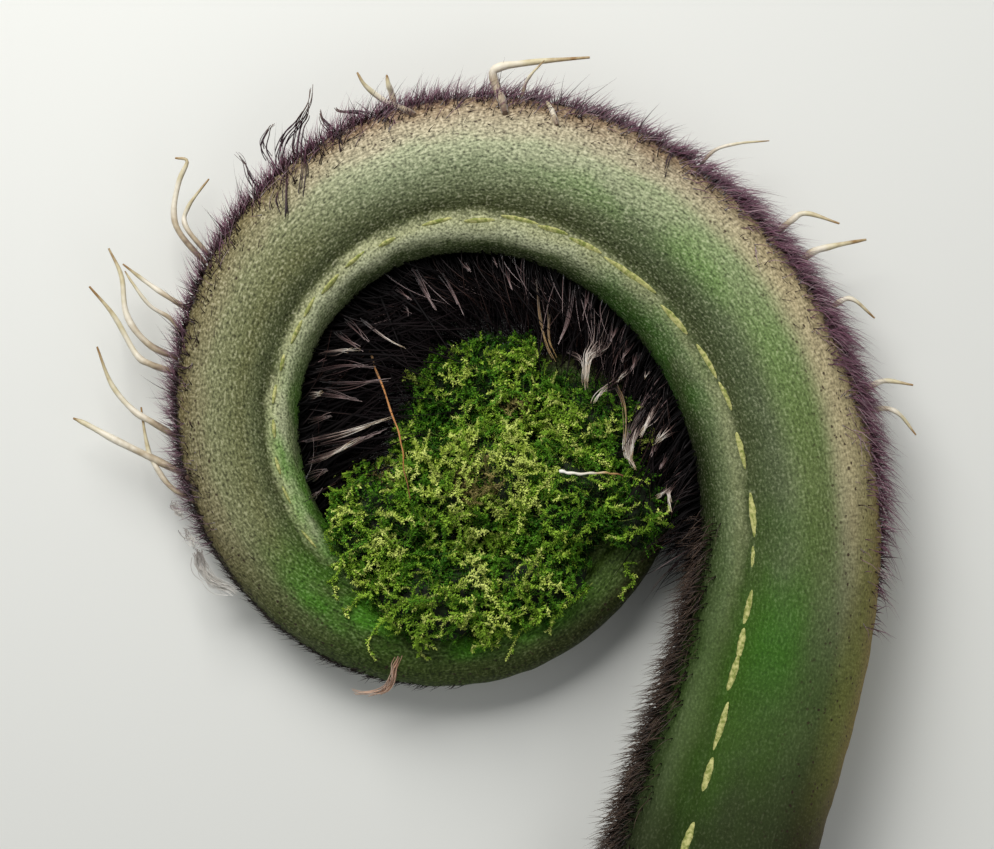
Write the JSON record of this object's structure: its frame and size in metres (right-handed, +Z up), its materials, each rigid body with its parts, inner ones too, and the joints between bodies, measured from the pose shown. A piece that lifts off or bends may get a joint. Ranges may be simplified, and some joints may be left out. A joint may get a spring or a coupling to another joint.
{
  "type": "tree fern crozier",
  "caption": "Rolled-up young frond of a tree fern, cut off and lying on its side, with a bristly back, dark hair inside the coil and moss in its middle.",
  "frame": {"origin": "centre of the part's outline as seen from above, on the surface that it lies on", "axes": "+Z straight up off that surface, +Y from the cut end towards the coil's outer turn, +X towards the side that the stalk runs up"},
  "size_m": [0.1072, 0.1158, 0.022],
  "materials": {
    "stalk_skin": "living plant skin, matt to waxy, grey-green with tan flanks",
    "bristles": "stiff purple-brown bristles with a dull shine",
    "dark_hair": "matted brown-black hair",
    "moss": "soft leafy moss, yellow-green"
  },
  "bodies": {
    "root": {"stalk_foot": "stalk_skin", "stalk_neck": "stalk_skin", "outer_turn_1": "stalk_skin", "outer_turn_2": "stalk_skin", "outer_turn_3": "stalk_skin", "outer_turn_4": "stalk_skin", "outer_turn_5": "stalk_skin", "outer_turn_6": "stalk_skin", "outer_turn_7": "stalk_skin", "inner_turn_1": "stalk_skin", "inner_turn_2": "stalk_skin", "inner_turn_3": "stalk_skin", "inner_turn_4": "stalk_skin", "rolled_tip": "stalk_skin", "bristles_neck": "bristles", "bristles_1": "bristles", "bristles_2": "bristles", "bristles_3": "bristles", "bristles_4": "bristles", "bristles_5": "bristles", "hair_stalk_1": "dark_hair", "hair_stalk_2": "dark_hair", "hair_hollow_1": "dark_hair", "hair_hollow_2": "dark_hair", "hair_hollow_3": "dark_hair", "hair_hollow_4": "dark_hair", "hair_hollow_5": "dark_hair", "moss_upper": "moss", "moss_upper_right": "moss", "moss_right": "moss", "moss_middle": "moss", "moss_middle_right": "moss", "moss_left": "moss", "moss_lower": "moss", "moss_lower_right": "moss"}
  },
  "joints": []
}
